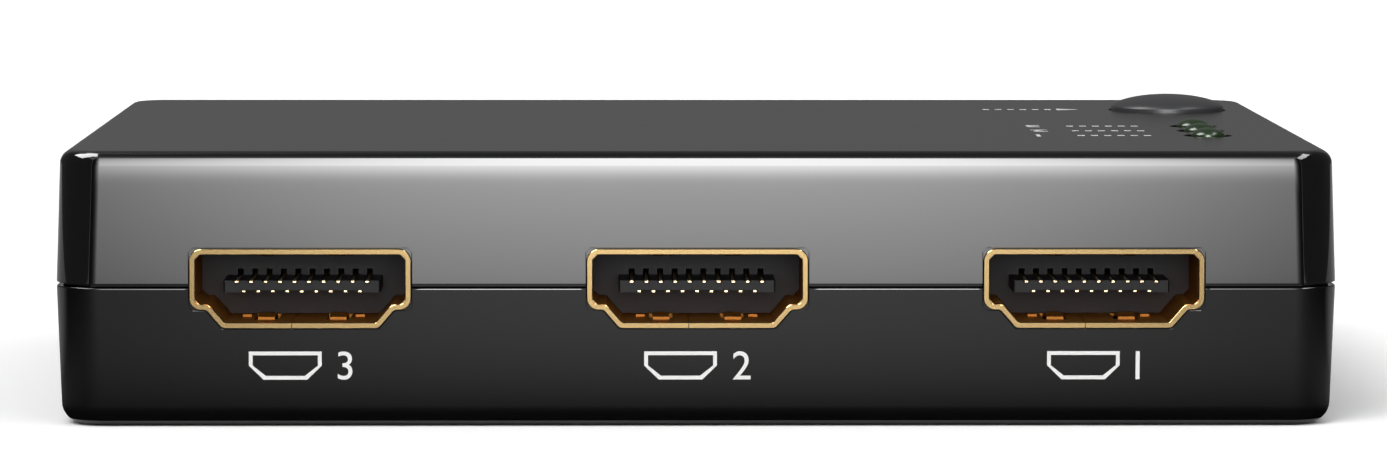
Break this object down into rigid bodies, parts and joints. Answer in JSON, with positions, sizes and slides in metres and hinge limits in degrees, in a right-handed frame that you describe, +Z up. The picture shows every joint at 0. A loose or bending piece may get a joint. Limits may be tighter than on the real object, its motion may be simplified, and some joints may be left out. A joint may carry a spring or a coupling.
{
  "type": "hdmi switch box",
  "caption": "Flat rectangular video switch box with a row of inputs in front, an output and power jack behind, and a select button and indicator lamps on top.",
  "frame": {"origin": "middle of the underside, on the surface that the box stands on", "axes": "+Z up; -Y towards the three inputs; +X to the right when the inputs are looked at; the output faces +Y"},
  "size_m": [0.0884, 0.0602, 0.0202],
  "materials": {
    "case_gloss_black": "polished moulded ABS",
    "button_grey": "satin moulded ABS",
    "gold_plate": "gold-plated brass sheet",
    "contact_gold": "gold-plated phosphor bronze",
    "nickel_plate": "tinned or nickel-plated",
    "spring_steel": "bare stainless sheet",
    "screw_steel": "black zinc plated",
    "insulator_black": "glass-filled nylon",
    "plunger_black": "moulded",
    "board_green": "solder-masked glass laminate",
    "chip_epoxy": "moulded epoxy",
    "capacitor_body": "ceramic and sleeved aluminium",
    "lamp_green": "tinted clear epoxy"
  },
  "bodies": {
    "case": {"upper_shell": "case_gloss_black", "lower_shell": "case_gloss_black", "case_screws": "screw_steel", "circuit_board": "board_green", "input_1_shell": "gold_plate", "input_1_housing": "insulator_black", "input_1_contacts": "contact_gold", "input_2_shell": "gold_plate", "input_2_housing": "insulator_black", "input_2_contacts": "contact_gold", "input_3_shell": "gold_plate", "input_3_housing": "insulator_black", "input_3_contacts": "contact_gold", "output_shell": "gold_plate", "output_housing": "insulator_black", "output_contacts": "contact_gold", "power_jack_body": "insulator_black", "power_jack_pin": "nickel_plate", "power_jack_spring": "nickel_plate", "switch_base": "insulator_black", "switch_terminals": "nickel_plate", "switch_dome": "spring_steel", "switch_cover": "spring_steel", "lamp_1": "lamp_green", "lamp_2": "lamp_green", "lamp_3": "lamp_green", "lamp_leads": "nickel_plate", "switch_chip": "chip_epoxy", "chip_leads": "nickel_plate", "regulator": "chip_epoxy", "regulator_leads": "nickel_plate", "capacitors": "capacitor_body", "resistors": "chip_epoxy"},
    "button": {"select_button": "button_grey", "switch_plunger": "plunger_black"}
  },
  "joints": [
    {"name": "select_press", "type": "slide", "parent": "case", "child": "button", "axis": [0, 0, -1], "range_m": [0, 0.00025], "stiffness_N_per_m": 4000, "deforming": ["switch_dome"]}
  ]
}
